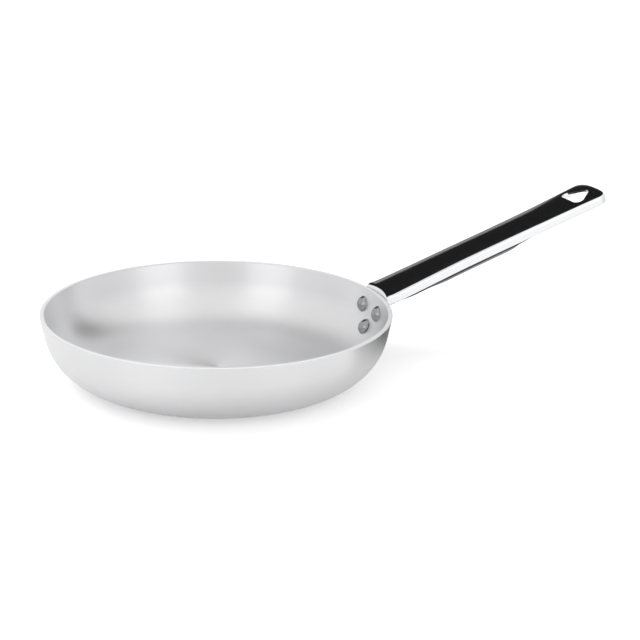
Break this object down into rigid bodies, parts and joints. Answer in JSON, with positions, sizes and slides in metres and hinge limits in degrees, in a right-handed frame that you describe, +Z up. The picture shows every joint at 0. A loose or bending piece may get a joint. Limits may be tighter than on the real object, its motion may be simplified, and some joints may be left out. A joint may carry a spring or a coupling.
{
  "type": "omelette pan",
  "caption": "Shallow spun aluminium omelette pan with flared wall, flat base, folded sheet steel handle riveted to the wall and a hanging hole at the handle's rounded end.",
  "frame": {"origin": "centre of the underside of the flat base, on the surface the pan stands on", "axes": "+Z up out of the open side of the pan, +X along the handle from the pan to the hanging hole, +Y to the left of someone who looks along the handle away from the pan"},
  "size_m": [0.4176, 0.24, 0.111],
  "materials": {
    "pan_aluminium": "satin, spun",
    "handle_steel": "bright polished",
    "rivet_steel": "bright polished"
  },
  "bodies": {
    "root": {"pan_body": "pan_aluminium", "handle": "handle_steel", "rivet_upper_left": "rivet_steel", "rivet_upper_right": "rivet_steel", "rivet_lower": "rivet_steel"}
  },
  "joints": []
}
